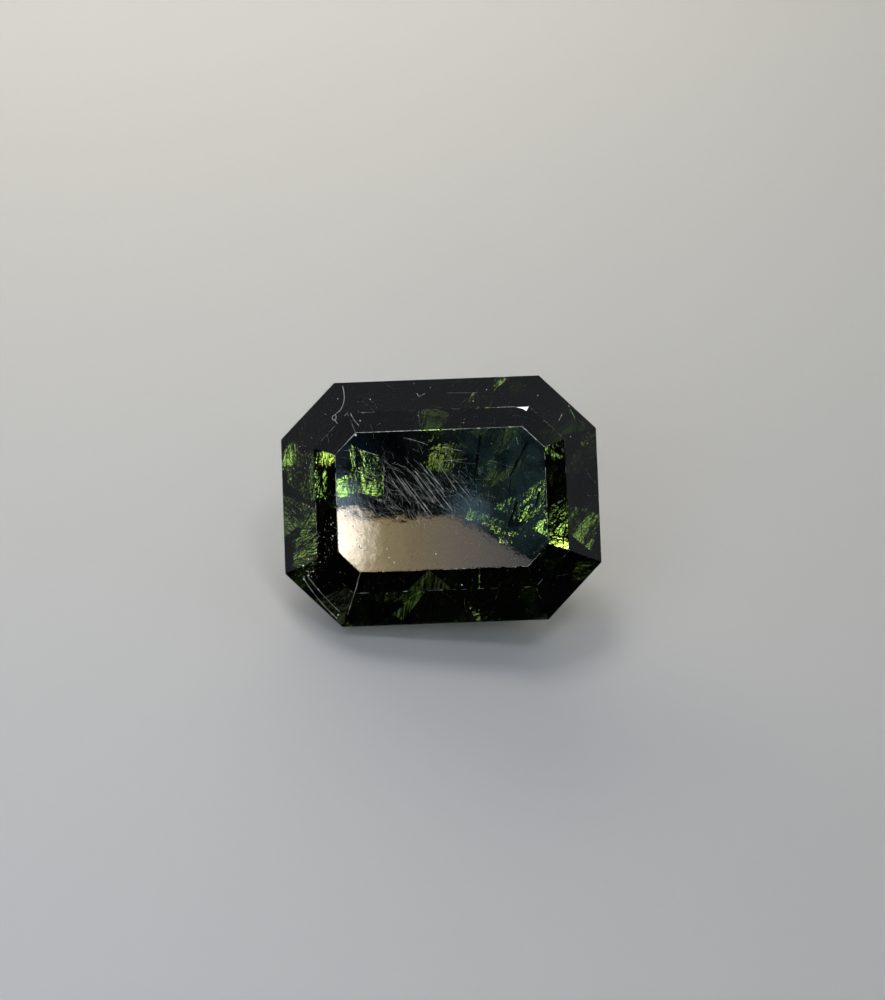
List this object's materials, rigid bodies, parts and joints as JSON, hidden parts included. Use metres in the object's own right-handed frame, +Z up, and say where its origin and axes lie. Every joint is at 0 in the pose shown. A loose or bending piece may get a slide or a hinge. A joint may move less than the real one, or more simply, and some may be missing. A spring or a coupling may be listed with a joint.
{
  "type": "peridot gemstone",
  "caption": "Octagonal step-cut peridot with needle inclusions: a loose faceted gem lying tilted on one facet of its pavilion.",
  "frame": {"origin": "on the surface that the stone lies on, under the middle of its bounding box", "axes": "+X along the stone's long side, towards its raised end; -Y towards the side that the table leans to; +Z up from the resting facet"},
  "size_m": [0.0094, 0.0058, 0.006],
  "materials": {
    "peridot": "polished"
  },
  "bodies": {
    "root": {"peridot_gemstone": "peridot"}
  },
  "joints": []
}
